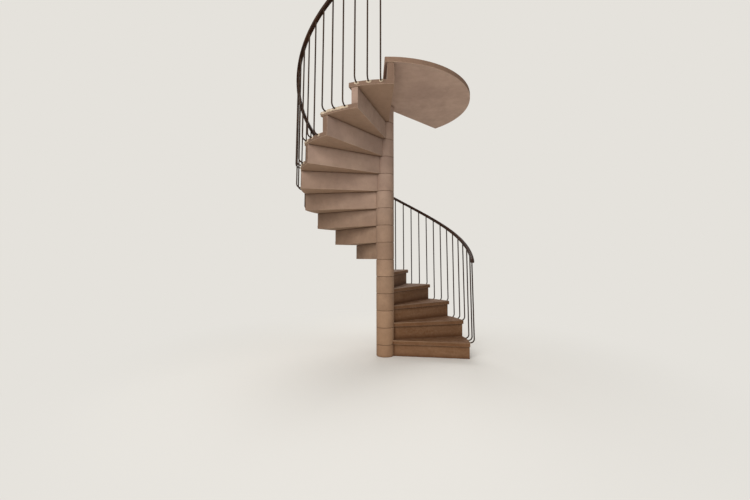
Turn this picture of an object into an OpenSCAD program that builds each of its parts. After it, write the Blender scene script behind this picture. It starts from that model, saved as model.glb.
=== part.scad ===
// Spiral staircase of cast stone, with iron balusters fixed to the ends of its treads.
//
// Each step is one stone: a drum of the newel, a tread slab that springs from the
// foot of the drum, and a riser that stands on the slab's back edge and carries the
// next slab. Seen from below, the flight is a fan of flat soffits and upright backs.
//
// The origin is on the floor, on the centre line of the newel, with +Z up. The flight
// climbs counter-clockwise seen from above. Lengths are in millimetres.

/* [Flight] */
// Height from one tread to the next
rise = 190; // [175:1:230]
// Turn from one tread to the next, in degrees
step_angle = 20; // [16:0.5:24]
// Number of treads below the landing
treads = 14; // [6:1:15]
// Height of the plinth's face, from the floor to the first tread's underside
plinth_h = 136; // [110:1:165]
// Direction of the first tread's front corner, in degrees from +X
first_corner = -11.7; // [-45:0.1:45]
// Turn of the landing, from its front corner to its far edge, in degrees
landing_turn = 134.7; // [45:0.1:150]

/* [Stones] */
// Radius of the treads' outer edge
tread_r = 930; // [760:1:1100]
// Diameter of the newel
newel_d = 200; // [180:1:240]
// Thickness of a tread slab
slab_t = 45; // [36:1:60]
// Thickness of a riser at its outer end
riser_t = 59; // [45:1:75]
// How far a nosing stands in front of the riser below it
nosing = 25; // [15:1:35]
// How far the risers stop short of the treads' outer edge
end_setback = 4; // [3:1:30]
// Distance from the newel's centre to the line of a riser's back
back_offset = 38; // [20:1:60]
// Distance from the newel's centre to the line of a nosing
front_offset = 46; // [40:1:86]
// Radius of the rounded top edge of a tread
nosing_round = 12; // [6:1:18]
// Thickness of the mortar beds between the stones
bed = 4; // [2:0.5:8]
// How far the mortar is raked back from the faces of the stones
bed_recess = 4; // [2:0.5:8]
// Chamfer round the top and the foot of each newel drum
drum_chamfer = 3; // [1:0.5:6]

/* [Balusters] */
// Number of balusters on each tread
bars = 3; // [2:1:4]
// Diameter of a baluster
bar_d = 14; // [10:0.5:20]
// Distance from the treads' outer edge to a baluster's centre, at its foot
bar_standoff = 50; // [48:1:90]
// Radius of the bend at a baluster's foot
bend_r = 42; // [25:1:48]
// Depth of a baluster's foot below the top of its tread
foot_drop = 15; // [13:1:24]
// Depth of the socket that a baluster's foot is set in
socket_depth = 45; // [30:1:70]
// Clearance round a baluster in its socket
socket_clear = 0.3; // [0.2:0.1:1]
// Turn of the balusters past the middle of their bays, in degrees
bay_shift = 1.3; // [-2:0.1:2]

/* [Handrail] */
// Height of the handrail's centre over the line of the nosings
rail_over = 877; // [800:1:1000]
// How far the balusters lean in, from the circle of their feet to the handrail
lean_in = 25; // [5:1:80]
// Width of the handrail
rail_w = 38; // [30:1:60]
// Depth of the handrail, measured upright
rail_h = 40; // [30:1:60]
// Number of lengths that the handrail is made in
rail_lengths = 6; // [3:1:8]
// How far the handrail runs on past its end balusters, in degrees
rail_overrun = 4; // [1:0.5:8]

/* [Hidden] */
// How far a chord may stand in from the treads' outer edge
chord_depth = 0.3;
$fn = 8 * ceil(PI * sqrt(tread_r / (2 * chord_depth)) / 8);
newel_r = newel_d / 2;
drum_h = rise - bed;
over = 2 * tread_r;
// How far a rounded edge's arc stands off from touching the faces beside it, so that it
// meets them at a small clear angle
arc_lift = 0.05;
// Height that the handrail climbs in one degree
climb = rise / step_angle;
// How far the weld between a bend and its bar stands proud of the bar
weld_swell = 0.3;
// Seat between a baluster's top and the handrail, whose facets twist as it climbs
weld_gap = 0.035 * climb;
// Directions are measured in the frame of one step, whose back runs along +X.
back_corner = asin(back_offset / tread_r);
corner_gap = 2 * asin((nosing + riser_t) / (2 * tread_r));
front_corner = back_corner - corner_gap - step_angle;
front_dir = front_corner + asin(front_offset / tread_r);
bay = step_angle / bars;
bar_r = tread_r + bar_standoff;
rail_r = bar_r - lean_in;
foot_z = slab_t - foot_drop;
// The handrail's run, as angles past the first tread's front corner
rail_start = bay / 2 + bay_shift - rail_overrun;
rail_end = treads * step_angle - bay / 2 + bay_shift + rail_overrun;
rail_slope = atan(climb / (rail_r * PI / 180));
// Turn between the rings that the handrail is swept through
rail_ring_turn = 2.5;
// Chamfer along the handrail's lower edges
rail_chamfer = 4;
// Number of facets over the handrail's rounded top
rail_top_facets = 8;

STEP_NODES = [for (n = [1:treads]) str("step_", n)];
BAR_NODES = [for (n = [1:treads]) str("balusters_", n)];
RAIL_NODES = [for (i = [1:rail_lengths]) str("handrail_", i)];

// Underside of tread n
function step_z(n) = plinth_h + (n - 1) * rise;
// Turn that puts step n in its place
function step_turn(n) = first_corner - front_corner + (n - 1) * step_angle;
// Angle of baluster k of a tread, past the tread's front corner
function bar_angle(k) = (k + 0.5) * bay + bay_shift;
// Height of the handrail's centre, at an angle past the first tread's front corner
function rail_z(a) = plinth_h + slab_t + climb * a + rail_over;

// Plan of what lies between a line in front and the line of the back, inside a
// radius. The front line passes the newel's centre at a distance, on its near side.
module between(dir, front, back, radius) {
    start = [front * sin(dir), -front * cos(dir)];
    intersection() {
        circle(r = radius);
        polygon([
            [0, back],
            [over, back],
            start + over * [cos(dir), sin(dir)],
            start
        ]);
    }
}

// Plan of a tread slab
module tread_plan() {
    between(front_dir, front_offset, back_offset, tread_r);
}

// Plan of the riser on a tread's back edge, whose front is parallel to the next
// nosing. An inset draws it smaller all round.
module riser_plan(inset = 0) {
    between(front_dir + step_angle, front_offset - nosing - inset,
            back_offset - inset, tread_r - end_setback - inset);
}

// Plan of the plinth, from the first riser's face to the first tread's back
module plinth_plan(inset = 0) {
    between(front_dir, front_offset - nosing - inset,
            back_offset - inset, tread_r - end_setback - inset);
}

// Plan of the landing, from its nosing round to a far edge that points at the newel
module landing_plan() {
    start = [front_offset * sin(front_dir), -front_offset * cos(front_dir)];
    fan = [for (i = [1:3]) front_corner + i * landing_turn / 3];
    intersection() {
        circle(r = tread_r);
        polygon(concat(
            [[0, 0], start, start + over * [cos(front_dir), sin(front_dir)]],
            [for (a = fan) over * [cos(a), sin(a)]]
        ));
    }
}

// What a rounded edge leaves outside its arc, whose centre is close to the origin
module spandrel() {
    difference() {
        square(nosing_round + 1);
        translate([arc_lift, arc_lift])
            circle(r = nosing_round);
    }
}

// The waste off the top edge of a slab, along its nosing
module nosing_waste() {
    rotate(front_dir)
        translate([0, -front_offset, 0])
            rotate([90, 0, 90])
                linear_extrude(over)
                    translate([nosing_round, slab_t - nosing_round])
                        mirror([1, 0])
                            spandrel();
}

// The waste off the top edge of a slab, round its outer end
module end_waste() {
    rotate_extrude()
        translate([tread_r - nosing_round, slab_t - nosing_round])
            spandrel();
}

// A drum of the newel, chamfered at both ends
module drum(h) {
    rotate_extrude()
        polygon([
            [0, 0],
            [newel_r - drum_chamfer, 0],
            [newel_r, drum_chamfer],
            [newel_r, h - drum_chamfer],
            [newel_r - drum_chamfer, h],
            [0, h]
        ]);
}

// The sockets for the baluster feet, drilled into a tread's outer edge
module sockets() {
    for (k = [0:bars - 1])
        rotate(front_corner + bar_angle(k))
            translate([tread_r - socket_depth, 0, foot_z])
                rotate([0, 90, 0])
                    cylinder(d = bar_d + 2 * socket_clear, h = 2 * socket_depth);
}

// One step: tread slab, riser and drum in one stone
module step_stone() {
    difference() {
        union() {
            difference() {
                linear_extrude(slab_t)
                    tread_plan();
                nosing_waste();
                end_waste();
            }
            linear_extrude(drum_h)
                riser_plan();
            drum(drum_h);
        }
        sockets();
    }
}

module step(n) {
    color("#cdbca8")
        translate([0, 0, step_z(n)])
            rotate(step_turn(n))
                step_stone();
}

// The block under the first tread, with the lowest piece of the newel
module plinth() {
    color("#c3b19c")
        rotate(step_turn(1)) {
            linear_extrude(plinth_h - bed)
                plinth_plan();
            drum(plinth_h - bed);
        }
}

// The landing slab, which rests on the last riser and closes the newel's head
module landing() {
    color("#cdbca8")
        translate([0, 0, step_z(treads + 1)])
            rotate(step_turn(treads + 1)) {
                difference() {
                    linear_extrude(slab_t)
                        landing_plan();
                    nosing_waste();
                }
                drum(slab_t);
            }
}

// The mortar under each drum and slab, raked back from the faces
module mortar_beds() {
    color("#a89c8c")
        for (n = [1:treads + 1])
            translate([0, 0, step_z(n) - bed])
                linear_extrude(bed) {
                    circle(r = newel_r - drum_chamfer - bed_recess);
                    if (n == 1)
                        rotate(step_turn(1))
                            plinth_plan(bed_recess);
                    else
                        rotate(step_turn(n - 1))
                            riser_plan(bed_recess);
                }
}

// A baluster whose top is at a height over the tread's underside: a foot that lies
// in its socket, a bend, and a bar, welded to it, that leans in to the handrail
module baluster(top) {
    bend_x = bar_r - bend_r;
    bend_z = foot_z + bend_r;
    lean = atan((bar_r - rail_r) / (top - bend_z));
    foot_start = tread_r - socket_depth + 1;
    difference() {
        union() {
            translate([foot_start, 0, foot_z])
                rotate([0, 90, 0])
                    cylinder(d = bar_d, h = bend_x - foot_start);
            translate([bend_x, 0, bend_z])
                rotate([90, 0, 0])
                    rotate([0, 0, -90])
                        rotate_extrude(angle = 90 + lean)
                            translate([bend_r, 0])
                                circle(d = bar_d);
            translate([bend_x, 0, bend_z])
                rotate([0, -lean, 0])
                    translate([bend_r, 0, 0]) {
                        sphere(d = bar_d + 2 * weld_swell);
                        cylinder(d = bar_d, h = (top - bend_z) / cos(lean) + bar_d);
                    }
        }
        translate([rail_r, 0, top])
            rotate([rail_slope, 0, 0])
                translate([-bar_r, -bar_r, 0])
                    cube([2 * bar_r, 2 * bar_r, rise]);
    }
}

module tread_balusters(n) {
    color("#2e2a28")
        translate([0, 0, step_z(n)])
            for (k = [0:bars - 1]) {
                a = bar_angle(k) + (n - 1) * step_angle;
                rotate(first_corner + a)
                    baluster(rail_z(a) - rail_h / 2 - weld_gap - step_z(n));
            }
}

// Section of the handrail: flat below, rounded above, as points [out, up]
function rail_section() =
    let (w = rail_w / 2, h = rail_h / 2, c = rail_chamfer, arc = 180 / rail_top_facets)
    concat(
        [[c - w, -h], [w - c, -h], [w, c - h]],
        [for (i = [0:rail_top_facets]) [w * cos(i * arc), h * sin(i * arc)]],
        [[-w, c - h]]
    );

// One length of the handrail, swept along the helix over the treads' outer ends
module rail_length(i) {
    from = rail_start + (i - 1) * (rail_end - rail_start) / rail_lengths;
    to = rail_start + i * (rail_end - rail_start) / rail_lengths;
    rings = ceil((to - from) / rail_ring_turn);
    section = rail_section();
    m = len(section);
    points = [for (j = [0:rings], p = section)
        let (a = from + j * (to - from) / rings, c = first_corner + a)
        [(rail_r + p.x) * cos(c), (rail_r + p.x) * sin(c), rail_z(a) + p.y]];
    sides = [for (j = [0:rings - 1], s = [0:m - 1])
        [j * m + s, (j + 1) * m + s, (j + 1) * m + (s + 1) % m, j * m + (s + 1) % m]];
    ends = [[for (s = [0:m - 1]) s], [for (s = [m - 1:-1:0]) rings * m + s]];
    color("#3a2d26")
        polyhedron(points, concat(sides, ends));
}

plinth();
for (n = [1:treads]) {
    step(n);
    tread_balusters(n);
}
landing();
mortar_beds();
for (i = [1:rail_lengths])
    rail_length(i);
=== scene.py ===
"""Spiral staircase of cast stone, with iron balusters and a helical handrail.

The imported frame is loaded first. The stair is then put up in the order that a mason
and a smith would follow: plinth, steps, landing, mortar beds, balusters, the mortar
round their feet, and the handrail. Lengths are in metres and angles in degrees, in the
frame's own axes.
"""
import math
import random

import bmesh
import bpy
from bmesh.types import BMEdge, BMVert
from mathutils import Matrix, Vector, noise


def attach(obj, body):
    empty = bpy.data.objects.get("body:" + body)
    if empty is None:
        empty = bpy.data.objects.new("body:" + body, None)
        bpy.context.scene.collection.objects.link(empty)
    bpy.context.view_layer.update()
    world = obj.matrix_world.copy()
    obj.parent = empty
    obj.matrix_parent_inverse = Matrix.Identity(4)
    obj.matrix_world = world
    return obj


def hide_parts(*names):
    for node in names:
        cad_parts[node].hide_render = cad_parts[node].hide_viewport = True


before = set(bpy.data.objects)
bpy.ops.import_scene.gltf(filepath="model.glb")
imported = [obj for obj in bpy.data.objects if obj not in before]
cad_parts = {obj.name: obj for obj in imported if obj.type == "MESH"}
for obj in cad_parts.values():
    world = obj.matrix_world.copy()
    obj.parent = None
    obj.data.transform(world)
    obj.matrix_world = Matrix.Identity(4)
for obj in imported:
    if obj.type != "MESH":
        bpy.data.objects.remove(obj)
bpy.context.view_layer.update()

# The surround is a studio's: a pale floor that runs into a pale backdrop, and three soft
# lamps. The camera stands 3.9 m in front of the newel, a little over a metre above the
# floor, and looks level.
scene = bpy.context.scene
scene.view_settings.view_transform = "Standard"

camera_roll = 0.12
eye = bpy.data.cameras.new("eye")
eye.sensor_width = 36
eye.lens = 16.75
eye.shift_y = 0.011
eye.clip_start = 0.05
camera = bpy.data.objects.new("eye", eye)
camera.location = (-0.114, -3.947, 1.0965)
camera.rotation_euler = (math.radians(90), math.radians(camera_roll), 0)
scene.collection.objects.link(camera)
scene.camera = camera


def tint(red, green, blue):
    """A colour as it is read off a screen, from 0 to 255, as the shaders take it."""
    return tuple(
        c / 12.92 if c <= 0.04045 else ((c + 0.055) / 1.055) ** 2.4
        for c in (red / 255, green / 255, blue / 255)
    ) + (1.0,)


def add(tree, kind, inputs=None, **settings):
    """A shader node, with its settings made and its sockets set or joined."""
    made = tree.nodes.new(kind)
    for name, value in settings.items():
        setattr(made, name, value)
    for socket, value in (inputs or {}).items():
        if isinstance(value, bpy.types.NodeSocket):
            tree.links.new(value, made.inputs[socket])
        else:
            made.inputs[socket].default_value = value
    return made


def figure(tree, how, a, b=0.0, clamp=False):
    """The result of a sum on one or two numbers."""
    return add(tree, "ShaderNodeMath", {0: a, 1: b}, operation=how, use_clamp=clamp).outputs[0]


def looked_at(tree):
    """1 where a surface is seen, by the eye or in something that shines, and 0 for its light."""
    ray = add(tree, "ShaderNodeLightPath").outputs
    seen = figure(tree, "ADD", ray["Is Camera Ray"], ray["Is Glossy Ray"])
    return figure(tree, "ADD", seen, ray["Is Transmission Ray"], clamp=True)


pale = tint(229, 226, 220)
surround = bpy.data.worlds.new("surround")
surround.use_nodes = True
air = surround.node_tree
daylight = air.nodes["Background"]
daylight.inputs["Color"].default_value = tint(240, 238, 234)
daylight.inputs["Strength"].default_value = 0.5
backdrop = add(air, "ShaderNodeBackground", {"Color": pale, "Strength": 1.0}).outputs[0]
shown = add(air, "ShaderNodeMixShader", {0: looked_at(air), 1: daylight.outputs[0], 2: backdrop})
air.links.new(shown.outputs[0], air.nodes["World Output"].inputs["Surface"])
scene.world = surround


def arrow(tree, how, *vectors, gives="Vector"):
    """The result of a sum on vectors: a vector, or a number where it gives a Value."""
    node = add(tree, "ShaderNodeVectorMath", dict(enumerate(vectors)), operation=how)
    return node.outputs[gives]


def placing(tree):
    """Where a point of the surface is, in the stair's own axes."""
    return add(tree, "ShaderNodeTexCoord").outputs["Object"]


def new_finish(name):
    """A material with nothing set yet, its nodes, and the shader that they end in."""
    material = bpy.data.materials.new(name)
    material.use_nodes = True
    tree = material.node_tree
    return material, tree, tree.nodes["Principled BSDF"]


floor_finish, laid, floor_paint = new_finish("pale_floor")
floor_paint.inputs["Base Color"].default_value = tint(235, 232, 226)
floor_paint.inputs["Roughness"].default_value = 0.9
floor_paint.inputs["Specular IOR Level"].default_value = 0.2
# Away from the stair the floor turns into the backdrop, so that no horizon shows.
fade_begins, fade_ends = 0.5, 3.3
away = arrow(laid, "LENGTH", placing(laid), gives="Value")
faded = add(laid, "ShaderNodeMapRange", {
    "Value": away, "From Min": fade_begins, "From Max": fade_ends,
}, interpolation_type="SMOOTHSTEP").outputs["Result"]
faded = figure(laid, "MULTIPLY", faded, looked_at(laid))
haze = add(laid, "ShaderNodeEmission", {"Color": pale, "Strength": 1.0}).outputs[0]
shown = add(laid, "ShaderNodeMixShader", {0: faded, 1: floor_paint.outputs[0], 2: haze})
laid.links.new(shown.outputs[0], laid.nodes["Material Output"].inputs["Surface"])


def as_mesh(form, name):
    """A finished form, kept as a mesh."""
    mesh = bpy.data.meshes.new(name)
    form.to_mesh(mesh)
    form.free()
    return mesh


def put_up(mesh, finish):
    """An object of the mesh's own name, with its finish on, standing in the scene."""
    mesh.materials.append(finish)
    piece = bpy.data.objects.new(mesh.name, mesh)
    scene.collection.objects.link(piece)
    return piece


floor_form = bmesh.new()
bmesh.ops.create_circle(floor_form, cap_ends=True, segments=64, radius=40)
floor = put_up(as_mesh(floor_form, "floor"), floor_finish)

for name, place, aim, side, watts in (
    ("front_lamp", (-2.35, -4.6, 3.9), (0, 0, 1.5), 2.8, 188),
    ("low_lamp", (0.2, -5.2, 1.0), (0, 0, 1.9), 2.4, 50),
    ("back_lamp", (0.8, 4.6, 4.4), (0, 0, 1.8), 3.0, 165),
):
    lamp = bpy.data.lights.new(name, "AREA")
    lamp.shape = "SQUARE"
    lamp.size = side
    lamp.energy = watts
    hung = bpy.data.objects.new(name, lamp)
    hung.location = place
    hung.rotation_euler = (Vector(aim) - Vector(place)).to_track_quat("-Z", "Y").to_euler()
    scene.collection.objects.link(hung)


# The plinth is the low block that the first tread is bedded on, cast in one with the
# lowest drum of the newel. It is cast stone: crushed limestone and cement, rammed damp
# in a mould, and its arrises are rubbed down by hand when it is struck.
plinth_height = 0.136
rise = 0.190
slab = 0.045
tread_radius = 0.930
newel_radius = 0.100
arris_width = 0.0025


def stretch(tree, value, low, high, to_low=0.0, to_high=1.0):
    """A value spread from one range to another, and held to its ends."""
    return add(tree, "ShaderNodeMapRange", {
        "Value": value, "From Min": low, "From Max": high, "To Min": to_low, "To Max": to_high,
    }, clamp=True).outputs["Result"]


def product(tree, value, *others):
    """Two or more numbers multiplied."""
    for other in others:
        value = figure(tree, "MULTIPLY", value, other)
    return value


def mottle(tree, where, scale, detail=2.0, roughness=0.5):
    """A cloudy pattern, from 0 to 1."""
    return add(tree, "ShaderNodeTexNoise", {
        "Vector": where, "Scale": scale, "Detail": detail, "Roughness": roughness,
    }).outputs["Fac"]


def wash(tree, amount, under, over, how="MIX"):
    """One colour laid over another."""
    return add(tree, "ShaderNodeMix", {0: amount, 6: under, 7: over},
               data_type="RGBA", blend_type=how).outputs[2]


def upright(tree, vector):
    """The upright part of a vector."""
    return add(tree, "ShaderNodeSeparateXYZ", {0: vector}).outputs["Z"]


def marked(tree, name, gives="Fac"):
    """What a stone's mesh carries under this name."""
    return add(tree, "ShaderNodeAttribute", attribute_name=name).outputs[gives]


def roughen(tree, shader, relief, strength, depth):
    """Relief that is too fine to model, given to a shader."""
    bump = add(tree, "ShaderNodeBump", {"Height": relief, "Strength": strength, "Distance": depth})
    tree.links.new(bump.outputs["Normal"], shader.inputs["Normal"])


def cast_stone():
    """Cast limestone: sandy, faintly mottled, with pin holes, worn brown where it is used,
    and with painted light and shade laid into its colour.

    A stone's mesh carries its own place in the pattern (cast), how pale it came out of
    the mould (tone), how much it is used, and on the lower steps how much painted shade
    it takes (use), and where it was rubbed down (arris).
    """
    material, tree, shader = new_finish("cast_stone")
    place = placing(tree)
    height = upright(tree, place)
    plan = arrow(tree, "MULTIPLY", place, (1, 1, 0))
    from_newel = arrow(tree, "LENGTH", plan, gives="Value")
    outward = arrow(tree, "NORMALIZE", plan)
    normal = add(tree, "ShaderNodeNewGeometry").outputs["Normal"]
    faces_up = upright(tree, normal)
    faces_out = arrow(tree, "DOT_PRODUCT", normal, outward, gives="Value")
    down_flight = upright(tree, arrow(tree, "CROSS_PRODUCT", normal, outward))
    where = arrow(tree, "ADD", place, marked(tree, "cast", "Vector"))
    # The use mark stands for wear and, on the lower steps, for painted shade as well.
    use = marked(tree, "use")

    # The lowest stones are warmed brown, partly by dust off the floor and partly by painted
    # warm light bounced up from it; the highest stay a little pink, partly clean and partly
    # painted cooler light from above.
    dust_and_bounce_begins, dust_and_bounce_full = 1.6, 0.1
    clean_and_cool_begins, clean_and_cool_full = 1.45, 2.3
    clouds = stretch(tree, mottle(tree, where, 3.4, 3.0), 0.35, 0.66)
    plain = wash(tree, clouds, tint(154, 128, 108), tint(139, 114, 96))
    dusty_and_bounce_lit = wash(tree, clouds, tint(145, 111, 81), tint(133, 99, 71))
    clean_and_cool_lit = wash(tree, clouds, tint(171, 146, 131), tint(155, 131, 118))
    colour = wash(tree, stretch(tree, height, dust_and_bounce_begins, dust_and_bounce_full, 0.0, 0.75), plain, dusty_and_bounce_lit)
    colour = wash(tree, stretch(tree, height, clean_and_cool_begins, clean_and_cool_full, 0.0, 0.8), colour, clean_and_cool_lit)

    # Shoes brown the nosings and risers that face down the flight, in level streaks broken up
    # by fine grazes. On the lower steps this brown is painted shade as well as wear.
    scuffs = mottle(tree, where, 9, 6.0, 0.68)
    grazes = stretch(tree, mottle(tree, where, 48, 6.0, 0.72), 0.42, 0.60, 1.0, 0.74)
    level = arrow(tree, "MULTIPLY", where, (1, 1, 3))
    streaks = stretch(tree, mottle(tree, level, 4, 3.0), 0.3, 0.7, 0.68, 1.0)
    worn_and_shaded_side = product(tree, stretch(tree, down_flight, 0.6, 0.9), use)
    colour = wash(tree, product(tree, worn_and_shaded_side, streaks, grazes), colour, tint(102, 68, 41))

    # The foot of a riser, and the corner where it meets the newel, are darkened brown: painted
    # shade in these corners.
    up_from_tread = figure(tree, "SUBTRACT", height, plinth_height + slab)
    up_riser = figure(tree, "FRACT", figure(tree, "DIVIDE", up_from_tread, rise))
    ragged_rise = figure(tree, "ADD", up_riser, stretch(tree, streaks, 0.6, 1.0, -0.06, 0.06))
    at_foot = stretch(tree, ragged_rise, 0.30, 0.06, 0.0, 0.7)
    in_corner = stretch(tree, from_newel, newel_radius + 0.022, newel_radius + 0.004, 0.0, 0.85)
    corner_shade = figure(tree, "MAXIMUM", at_foot, in_corner)
    colour = wash(tree, product(tree, worn_and_shaded_side, corner_shade), colour, tint(82, 48, 22))

    # Nosings are a little browner, and under each one a dark line is painted: the joint, and
    # painted shadow under the nosing.
    on_nosing = stretch(tree, up_riser, 0.77, 0.80, 0.0, 0.25)
    colour = wash(tree, product(tree, worn_and_shaded_side, on_nosing), colour, tint(88, 54, 28))
    above, below = stretch(tree, up_riser, 0.705, 0.74), stretch(tree, up_riser, 0.775, 0.76)
    joint_and_shadow = product(tree, worn_and_shaded_side, product(tree, above, below), 0.6)
    colour = wash(tree, joint_and_shadow, colour, tint(50, 30, 16))

    # The treads' tops are scuffed brown, and on the lower steps the brown is painted shade as
    # well. Painted warm light, as if bounced up from the floor, tans the soffits of all but the
    # landing.
    bounce_use_limit = 0.4
    scuffed = stretch(tree, scuffs, 0.38, 0.62, 0.55, 1.0)
    trodden_and_shaded = product(tree, stretch(tree, faces_up, 0.6, 0.95), scuffed, use, grazes)
    colour = wash(tree, trodden_and_shaded, colour, tint(98, 64, 37))
    painted_bounce = product(tree, stretch(tree, faces_up, -0.7, -0.95, 0.0, 0.7),
                     figure(tree, "GREATER_THAN", use, bounce_use_limit))
    colour = wash(tree, painted_bounce, colour, tint(146, 117, 93))

    # The ends of the risers, the edges of the treads and, lower down, the outer part of the
    # risers' backs are darkened: painted shade. The end of one riser high up is left paler:
    # painted daylight on it.
    daylit_riser = 13
    riser_foot = plinth_height + (daylit_riser - 1) * rise + slab
    riser_head = plinth_height + daylit_riser * rise
    daylit_end = product(tree, stretch(tree, height, riser_foot - 0.003, riser_foot + 0.004),
                     stretch(tree, height, riser_head + 0.004, riser_head - 0.003))
    ends = product(tree, stretch(tree, faces_out, 0.6, 0.95), stretch(tree, from_newel, 0.45, 0.5),
                   stretch(tree, daylit_end, 0.0, 1.0, 0.85, 0.25))
    backs = product(tree, stretch(tree, down_flight, -0.6, -0.9),
                    stretch(tree, from_newel, 0.45, tread_radius, 0.0, 0.6),
                    stretch(tree, height, 2.1, 1.75))
    colour = wash(tree, figure(tree, "MAXIMUM", ends, backs), colour, tint(106, 82, 65))

    # Sand, darker patches and the stone's own tone vary all of it.
    sand = stretch(tree, mottle(tree, where, 520, 1.0), 0.3, 0.7, 0.93, 1.06)
    patches = stretch(tree, mottle(tree, where, 15, 4.0, 0.6), 0.42, 0.70, 1.01, 0.91)
    own_tone = figure(tree, "ADD", 1.0, marked(tree, "tone"))
    shade = product(tree, sand, patches, own_tone)
    grey = add(tree, "ShaderNodeCombineColor", {0: shade, 1: shade, 2: shade}).outputs[0]
    colour = wash(tree, 1.0, colour, grey, "MULTIPLY")

    # Rubbed arrises are pale, sheltered corners are darkened by painted shade, and pin holes
    # are left by air.
    chalky = stretch(tree, mottle(tree, where, 45, 3.0), 0.35, 0.6, 0.05, 0.42)
    colour = wash(tree, product(tree, marked(tree, "arris"), chalky), colour, tint(184, 160, 136))
    open_air = add(tree, "ShaderNodeAmbientOcclusion", {"Distance": 0.05}, samples=8).outputs["AO"]
    colour = wash(tree, stretch(tree, open_air, 0.85, 0.3, 0.0, 0.65), colour, tint(80, 54, 33))
    holes = add(tree, "ShaderNodeTexVoronoi", {"Vector": where, "Scale": 62}).outputs["Distance"]
    sparse = stretch(tree, mottle(tree, where, 9), 0.5, 0.62)
    pin_holes = product(tree, stretch(tree, holes, 0.12, 0.06), sparse)
    # The pin holes are darkened inside: painted shade.
    colour = wash(tree, product(tree, pin_holes, 0.35), colour, tint(92, 74, 60))
    tree.links.new(colour, shader.inputs["Base Color"])

    matt = stretch(tree, mottle(tree, where, 30, 3.0), 0.3, 0.7, 0.72, 0.88)
    tree.links.new(matt, shader.inputs["Roughness"])
    shader.inputs["Specular IOR Level"].default_value = 0.2
    relief = figure(tree, "ADD", mottle(tree, where, 420), product(tree, pin_holes, -3.0))
    relief = figure(tree, "ADD", relief, product(tree, mottle(tree, where, 26, 3.0), 1.5))
    roughen(tree, shader, relief, 0.35, 0.0006)
    return material


stone_finish = cast_stone()
moulds = random.Random(14)


def rubbed_stone(name, wear, paler=0.0):
    """A stone of the frame with its arrises rubbed round, and its own share of the finish."""
    touching, flat, square_edge = 1e-5, math.radians(0.5), math.radians(60)
    form = bmesh.new()
    form.from_mesh(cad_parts[name].data)
    bmesh.ops.remove_doubles(form, verts=form.verts, dist=touching)
    bmesh.ops.dissolve_limit(form, angle_limit=flat, verts=form.verts, edges=form.edges)
    sharp = [e for e in form.edges if e.is_manifold and e.is_convex
             and e.calc_face_angle() > square_edge and e.calc_length() > 3 * arris_width]
    rubbed = bmesh.ops.bevel(form, geom=sharp, offset=arris_width, offset_type="OFFSET",
                             segments=3, profile=0.5, affect="EDGES", clamp_overlap=False,
                             material=-1)
    arris = form.loops.layers.float.new("arris")
    for face in rubbed["faces"]:
        for corner in face.loops:
            corner[arris] = 1.0
    mesh = as_mesh(form, name + "_stone")

    points = len(mesh.vertices)
    cast = mesh.attributes.new("cast", "FLOAT_VECTOR", "POINT")
    cast.data.foreach_set("vector", [moulds.uniform(-20, 20) for _ in range(3)] * points)
    tone = paler + moulds.uniform(-0.07, 0.07)
    for mark, amount in (("tone", tone), ("use", wear)):
        mesh.attributes.new(mark, "FLOAT", "POINT").data.foreach_set("value", [amount] * points)

    # The drums, the rounds and the arrises are shaded smooth, and the broad flat faces
    # flat. That comes second, because marking the sharp edges makes every face smooth.
    broad = 0.006
    mesh.set_sharp_from_angle(angle=math.radians(40))
    mesh.polygons.foreach_set("use_smooth", [face.area < broad for face in mesh.polygons])
    # Upright faces round the newel's axis take the true slant of a cylinder.
    nearly_upright, faces_outward, same_reach = 0.01, 0.99, 0.0004
    slants = [(0, 0, 0)] * len(mesh.loops)
    for face in mesh.polygons:
        corners = [mesh.vertices[v].co for v in face.vertices]
        reaches = [corner.xy.length for corner in corners]
        if (abs(face.normal.z) < nearly_upright
                and face.normal.xy.normalized().dot(face.center.xy.normalized()) > faces_outward
                and max(reaches) - min(reaches) < same_reach):
            for loop, corner in zip(face.loop_indices, corners):
                slants[loop] = Vector((corner.x, corner.y, 0)).normalized()
    mesh.normals_split_custom_set(slants)

    stone = put_up(mesh, stone_finish)
    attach(stone, "root")
    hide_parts(name)


rubbed_stone("plinth", 0.85)

# The steps are fourteen stones from one mould. Each is a tread slab, the riser on its
# back edge and one drum of the newel, cast together and bedded on the stone below. The
# lowest five are browned most, by wear and by painted shade, and from there the brown
# fades to half.
steps = 14
browned_most = 5
for n in range(1, steps + 1):
    rubbed_stone(f"step_{n}", max(0.5, 1.0 - 0.12 * max(0, n - browned_most)))

# The landing is the slab over the last riser. It closes the head of the newel, and its
# far edge is built in. It came paler out of its mould, and is the least worn.
rubbed_stone("landing", 0.35, paler=0.25)


# The mortar beds are lime and sand, pressed into the thin joints between the stones and
# raked back before they set, so that every joint shows as a fine dark line.
def raked_mortar():
    """Lime mortar: coarse, sandy and darker than the stone."""
    material, tree, shader = new_finish("raked_mortar")
    place = placing(tree)
    grit = mottle(tree, place, 380)
    damp = stretch(tree, mottle(tree, place, 24, 3.0), 0.3, 0.7)
    colour = wash(tree, damp, tint(122, 95, 72), tint(98, 72, 51))
    colour = wash(tree, stretch(tree, grit, 0.55, 0.75, 0.0, 0.5), colour, tint(150, 132, 112))
    tree.links.new(colour, shader.inputs["Base Color"])
    shader.inputs["Roughness"].default_value = 0.92
    roughen(tree, shader, grit, 0.6, 0.001)
    return material


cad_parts["mortar_beds"].data.materials[0] = raked_mortar()


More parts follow.
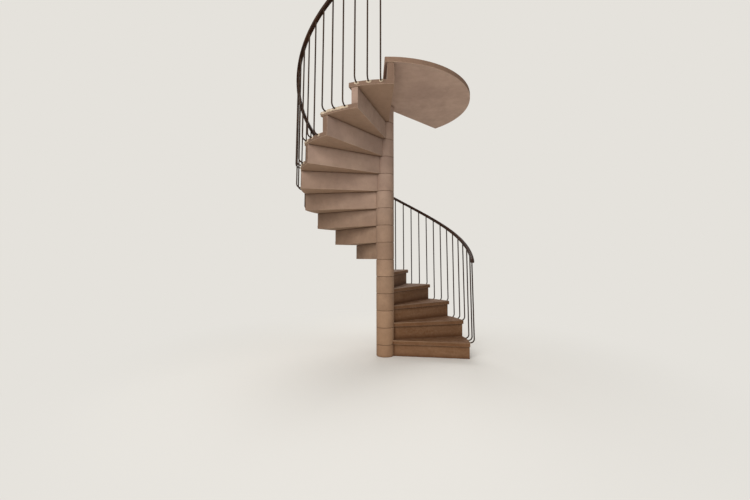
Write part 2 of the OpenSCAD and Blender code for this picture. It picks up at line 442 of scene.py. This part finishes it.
# The balusters are round iron bars, three to a tread. Each is bent once, so that its
# foot lies in a socket in the tread's edge and its bar leans in to the handrail, where
# it is welded. They are painted a dark bronze.
step_angle = 20.0
first_corner = -11.7
bars_a_tread = 3
bay = step_angle / bars_a_tread
bay_shift = 1.3
bar_radius = 0.007
bar_sides = 18
bar_circle = tread_radius + 0.050
bend_radius = 0.042
bend_steps = 12
socket = 0.045
socket_play = 0.001
foot_height = slab - 0.015
weld_height = 0.003
weld_sunk = 0.0006
weld_flare = 1.4
rail_radius = bar_circle - 0.025
rail_depth = 0.040
rail_over = 0.877
climb = rise / step_angle


def underside(n):
    """Height of a tread's underside, from which its bars are measured."""
    return plinth_height + (n - 1) * rise


def rail_height(turn):
    """Height of the handrail's centre, by the angle past the first tread's front corner."""
    return plinth_height + slab + climb * turn + rail_over


def bar_turns(n):
    """The three bars of a tread, by the angle past the first tread's front corner."""
    return [(k + 0.5) * bay + bay_shift + (n - 1) * step_angle for k in range(bars_a_tread)]


def only(kinds, parts):
    """The points, or the edges, among the parts that a bmesh operator gives back."""
    return [part for part in parts if isinstance(part, kinds)]


def set_in(whole, part, turn, up):
    """Turn a finished shape round the newel, lift it and join it to a larger one."""
    swing = Matrix.Rotation(math.radians(first_corner + turn), 3, "Z")
    bmesh.ops.rotate(part, verts=part.verts, cent=(0, 0, 0), matrix=swing)
    bmesh.ops.translate(part, verts=part.verts, vec=(0, 0, up))
    carrier = as_mesh(part, "carrier")
    whole.from_mesh(carrier)
    bpy.data.meshes.remove(carrier)


def smoothed(form, name, crease):
    """A finished form as a mesh, shaded smooth but for edges that turn by more than this."""
    mesh = as_mesh(form, name)
    mesh.shade_smooth()
    mesh.set_sharp_from_angle(angle=math.radians(crease))
    return mesh


def bronze_paint(name, deep, bright, roughness):
    """Dark bronze paint on iron, with brush marks and a little wear."""
    material, tree, shader = new_finish(name)
    place = placing(tree)
    patina = stretch(tree, mottle(tree, place, 11, 4.0, 0.6), 0.3, 0.7)
    tree.links.new(wash(tree, patina, deep, bright), shader.inputs["Base Color"])
    handled = mottle(tree, place, 60)
    handled = stretch(tree, handled, 0.3, 0.7, roughness - 0.07, roughness + 0.1)
    tree.links.new(handled, shader.inputs["Roughness"])
    shader.inputs["Specular IOR Level"].default_value = 0.2
    roughen(tree, shader, mottle(tree, place, 240), 0.25, 0.0004)
    return material


def forged_bar(turn, base):
    """One baluster: its foot, its bend, its bar and the weld at its top."""
    form = bmesh.new()
    top = rail_height(turn) - rail_depth / 2 - base
    bend_x, bend_z = bar_circle - bend_radius, foot_height + bend_radius
    lean = math.atan((bar_circle - rail_radius) / (top - bend_z))
    foot = tread_radius - socket + socket_play

    lies = Matrix.Translation((foot, 0, foot_height)) @ Matrix.Rotation(math.radians(90), 4, "Y")
    bmesh.ops.create_circle(form, segments=bar_sides, radius=bar_radius, matrix=lies)
    ring = form.edges[:]
    bmesh.ops.holes_fill(form, edges=ring)
    drawn = bmesh.ops.extrude_edge_only(form, edges=ring)["geom"]
    bmesh.ops.translate(form, vec=(bend_x - foot, 0, 0), verts=only(BMVert, drawn))
    bent = bmesh.ops.spin(form, geom=only((BMVert, BMEdge), drawn), cent=(bend_x, 0, bend_z),
                          axis=(0, -1, 0), angle=math.radians(90) + lean,
                          steps=bend_steps)["geom_last"]

    # Each line of the bar runs on to just under the slanted handrail, and the weld
    # widens from there into it.
    drawn = bmesh.ops.extrude_edge_only(form, edges=only(BMEdge, bent))["geom"]
    up = Vector((-math.sin(lean), 0, math.cos(lean)))
    slope = climb / (rail_radius * math.radians(1))
    for v in only(BMVert, drawn):
        gap = top - weld_height + v.co.y * slope - v.co.z
        v.co += up * (gap / up.z)

    flare = bmesh.ops.extrude_edge_only(form, edges=only(BMEdge, drawn))["geom"]
    collar = only(BMVert, flare)
    bmesh.ops.translate(form, vec=up * (weld_height + weld_sunk), verts=collar)
    middle = sum((v.co for v in collar), Vector()) / len(collar)
    bmesh.ops.scale(form, vec=(weld_flare, weld_flare, 1.0), space=Matrix.Translation(-middle),
                    verts=collar)
    bmesh.ops.holes_fill(form, edges=only(BMEdge, flare))
    return form


bar_finish = bronze_paint("bronze_bars", tint(34, 19, 8), tint(56, 35, 17), 0.6)
for n in range(1, steps + 1):
    form = bmesh.new()
    for turn in bar_turns(n):
        set_in(form, forged_bar(turn, underside(n)), turn, underside(n))
    bmesh.ops.recalc_face_normals(form, faces=form.faces)
    bars = put_up(smoothed(form, f"bars_{n}", 38), bar_finish)
    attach(bars, "root")
    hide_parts(f"balusters_{n}")


# The foot mortar is white lime and fine sand, pressed on by finger where each bar goes
# into its socket. The edges of two of the upper treads were made good with more of it.
dab_half_depth = 0.0105
dab_inset = 0.0025
dab_back = 0.0055
dab_drop = 0.001
smears = {12: 2, 13: 8}
smear_from = 1.8
smear_apart = 2.25
smear_spread = 1.5


def pale_mortar():
    """Mortar of white lime and fine sand, rough from the finger that pressed it on."""
    material, tree, shader = new_finish("pale_mortar")
    place = placing(tree)
    grit = mottle(tree, place, 430, 3.0, 0.6)
    lime = stretch(tree, mottle(tree, place, 60, 4.0, 0.6), 0.35, 0.65)
    colour = wash(tree, lime, tint(194, 177, 155), tint(167, 147, 124))
    colour = wash(tree, stretch(tree, grit, 0.55, 0.7, 0.0, 0.6), colour, tint(142, 122, 100))
    tree.links.new(colour, shader.inputs["Base Color"])
    shader.inputs["Roughness"].default_value = 0.95
    lumps = product(tree, mottle(tree, place, 110, 3.0), 2.0)
    roughen(tree, shader, figure(tree, "ADD", grit, lumps), 0.7, 0.0012)
    return material


dab_finish = pale_mortar()
hand = random.Random(42)


def mortar_dab(spread=1.0):
    """A lump of mortar pressed on a tread's edge, with its back let into the stone."""
    form = bmesh.new()
    half_width, half_height = spread * hand.uniform(0.016, 0.027), hand.uniform(0.0125, 0.0145)
    aside, swirl = hand.uniform(-0.004, 0.004), Vector([hand.uniform(-9, 9) for _ in range(3)])
    bmesh.ops.create_icosphere(form, subdivisions=3, radius=1.0)
    for v in form.verts:
        broad, fine = noise.noise(v.co * 1.3 + swirl), noise.noise(v.co * 4.0 + swirl)
        press = 1 + 0.22 * broad + 0.10 * fine
        v.co = press * Vector((dab_half_depth * v.co.x, half_width * v.co.y, half_height * v.co.z))
    onto_edge = (tread_radius - dab_inset, aside, foot_height - dab_drop)
    bmesh.ops.translate(form, verts=form.verts, vec=onto_edge)
    bmesh.ops.bisect_plane(form, geom=[*form.verts, *form.edges, *form.faces], dist=1e-6,
                           plane_co=(tread_radius - dab_back, 0, 0), plane_no=(1, 0, 0),
                           clear_inner=True)
    bmesh.ops.holes_fill(form, edges=[e for e in form.edges if e.is_boundary])
    return form


for n in range(1, steps + 1):
    form = bmesh.new()
    for turn in bar_turns(n):
        set_in(form, mortar_dab(), turn, underside(n))
    for smear in range(smears.get(n, 0)):
        turn = (n - 1) * step_angle + smear_from + smear_apart * smear + hand.uniform(-0.4, 0.4)
        dab = mortar_dab(smear_spread)
        set_in(form, dab, turn, underside(n) + hand.uniform(-0.004, 0.001))
    bmesh.ops.recalc_face_normals(form, faces=form.faces)
    dabs = put_up(smoothed(form, f"foot_mortar_{n}", 50), dab_finish)
    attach(dabs, "root")


# The handrail is a bronze-painted section, flat below and rounded above. It is bent to
# the helix of the stair in six lengths, joined end to end over the balusters.
rail_width = 0.038
rail_edge = 0.004
rail_rim = 0.0012
rail_lengths = 6
bends = 32
overrun = 4.0
rail_start = bay / 2 + bay_shift - overrun
rail_end = steps * step_angle - bay / 2 + bay_shift + overrun
length_turn = (rail_end - rail_start) / rail_lengths

half_width, half_depth = rail_width / 2, rail_depth / 2
outline = [(rail_edge - half_width, -half_depth), (half_width - rail_edge, -half_depth),
           (half_width, rail_edge - half_depth)]
outline += [(half_width * math.cos(math.radians(a)), half_depth * math.sin(math.radians(a)))
            for a in range(0, 181, 10)]
outline += [(-half_width, rail_edge - half_depth)]

rail_finish = bronze_paint("bronze_rail", tint(33, 15, 4), tint(54, 28, 9), 0.52)
for i in range(1, rail_lengths + 1):
    begin = rail_start + (i - 1) * length_turn
    form = bmesh.new()
    ring = [form.verts.new((rail_radius + out, 0, rail_height(begin) + up)) for out, up in outline]
    end = form.faces.new(ring)
    swing = Matrix.Rotation(math.radians(first_corner + begin), 3, "Z")
    bmesh.ops.rotate(form, verts=ring, cent=(0, 0, 0), matrix=swing)
    bmesh.ops.spin(form, geom=[*end.edges, *end.verts], cent=(0, 0, 0), axis=(0, 0, 1),
                   dvec=(0, 0, climb * length_turn / bends), angle=math.radians(length_turn),
                   steps=bends)
    bmesh.ops.holes_fill(form, edges=[e for e in form.edges if e.is_boundary])
    bmesh.ops.recalc_face_normals(form, faces=form.faces)
    # The rims of the two ends, the only faces with more than six corners, are eased.
    rims = [e for e in form.edges if e.is_manifold and e.calc_face_angle() > math.radians(60)
            and any(len(f.verts) > 6 for f in e.link_faces)]
    bmesh.ops.bevel(form, geom=rims, offset=rail_rim, offset_type="OFFSET", segments=2,
                    profile=0.5, affect="EDGES", clamp_overlap=False, material=-1)
    rail = put_up(smoothed(form, f"rail_{i}", 32), rail_finish)
    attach(rail, "root")
    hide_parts(f"handrail_{i}")
